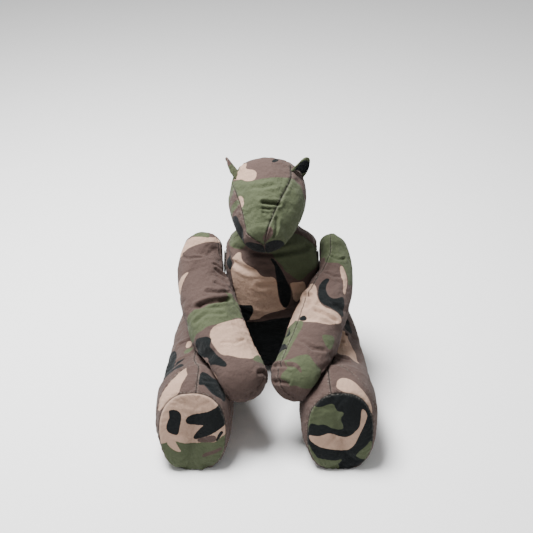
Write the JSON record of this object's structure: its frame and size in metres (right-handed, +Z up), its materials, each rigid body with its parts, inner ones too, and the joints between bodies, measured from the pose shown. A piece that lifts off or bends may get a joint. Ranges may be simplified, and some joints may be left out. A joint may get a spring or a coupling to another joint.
{
  "type": "stuffed training dummy",
  "caption": "Sitting bear-shaped training dummy sewn from woodland camouflage cloth, with stuffed arms and legs hinged at sewn seams and a head that turns and nods.",
  "frame": {"origin": "on the floor under the middle of the dummy's bounding box", "axes": "+Z up, -Y towards the dummy's front and its soles, +X to the right as seen from the front"},
  "size_m": [0.409, 0.465, 0.4584],
  "materials": {
    "cloth_green": "matte twill, woodland camouflage",
    "cloth_brown": "matte twill, woodland camouflage",
    "cloth_tan": "matte twill, woodland camouflage",
    "cloth_black": "matte twill, woodland camouflage",
    "seam_tape": "turned-in cloth and thread",
    "filling": "loose polyester fibre"
  },
  "bodies": {
    "torso": {"torso_front": "cloth_brown", "torso_back_left": "cloth_green", "torso_back_right": "cloth_brown", "torso_filling": "filling", "shoulder_seam_left": "seam_tape", "shoulder_seam_right": "seam_tape", "hip_seam_left": "seam_tape", "hip_seam_right": "seam_tape"},
    "neck": {"neck_seam_band": "seam_tape"},
    "head": {"head_gusset": "cloth_green", "head_side_left": "cloth_brown", "head_side_right": "cloth_green", "head_filling": "filling", "ear_front_left": "cloth_black", "ear_back_left": "cloth_green", "ear_front_right": "cloth_black", "ear_back_right": "cloth_green"},
    "arm_left": {"arm_upper_left": "cloth_brown", "arm_under_left": "cloth_green", "arm_filling_left": "filling"},
    "arm_right": {"arm_upper_right": "cloth_brown", "arm_under_right": "cloth_green", "arm_filling_right": "filling"},
    "leg_left": {"leg_inner_left": "cloth_black", "leg_outer_left": "cloth_brown", "foot_inner_left": "cloth_tan", "foot_outer_left": "cloth_brown", "sole_left": "cloth_tan", "leg_filling_left": "filling"},
    "leg_right": {"leg_inner_right": "cloth_black", "leg_outer_right": "cloth_brown", "foot_inner_right": "cloth_tan", "foot_outer_right": "cloth_brown", "sole_right": "cloth_tan", "leg_filling_right": "filling"}
  },
  "joints": [
    {"name": "neck_turn", "type": "hinge", "parent": "torso", "child": "neck", "pos_m": [0.005, 0.15122, 0.27], "axis": [0, 0, 1], "range_deg": [-45, 45]},
    {"name": "neck_nod", "type": "hinge", "parent": "neck", "child": "head", "pos_m": [0.005, 0.15122, 0.27], "axis": [1, 0, 0], "range_deg": [-12, 3]},
    {"name": "shoulder_raise_left", "type": "hinge", "parent": "torso", "child": "arm_left", "pos_m": [-0.084, 0.13722, 0.226], "axis": [-1, 0, 0], "range_deg": [0, 45]},
    {"name": "shoulder_raise_right", "type": "hinge", "parent": "torso", "child": "arm_right", "pos_m": [0.104, 0.13722, 0.226], "axis": [-1, 0, 0], "range_deg": [0, 45]},
    {"name": "hip_swing_left", "type": "hinge", "parent": "torso", "child": "leg_left", "pos_m": [-0.074, 0.14722, 0.058], "axis": [-1, 0, 0], "range_deg": [-80, 0]},
    {"name": "hip_swing_right", "type": "hinge", "parent": "torso", "child": "leg_right", "pos_m": [0.074, 0.14722, 0.058], "axis": [-1, 0, 0], "range_deg": [-80, 0]}
  ]
}
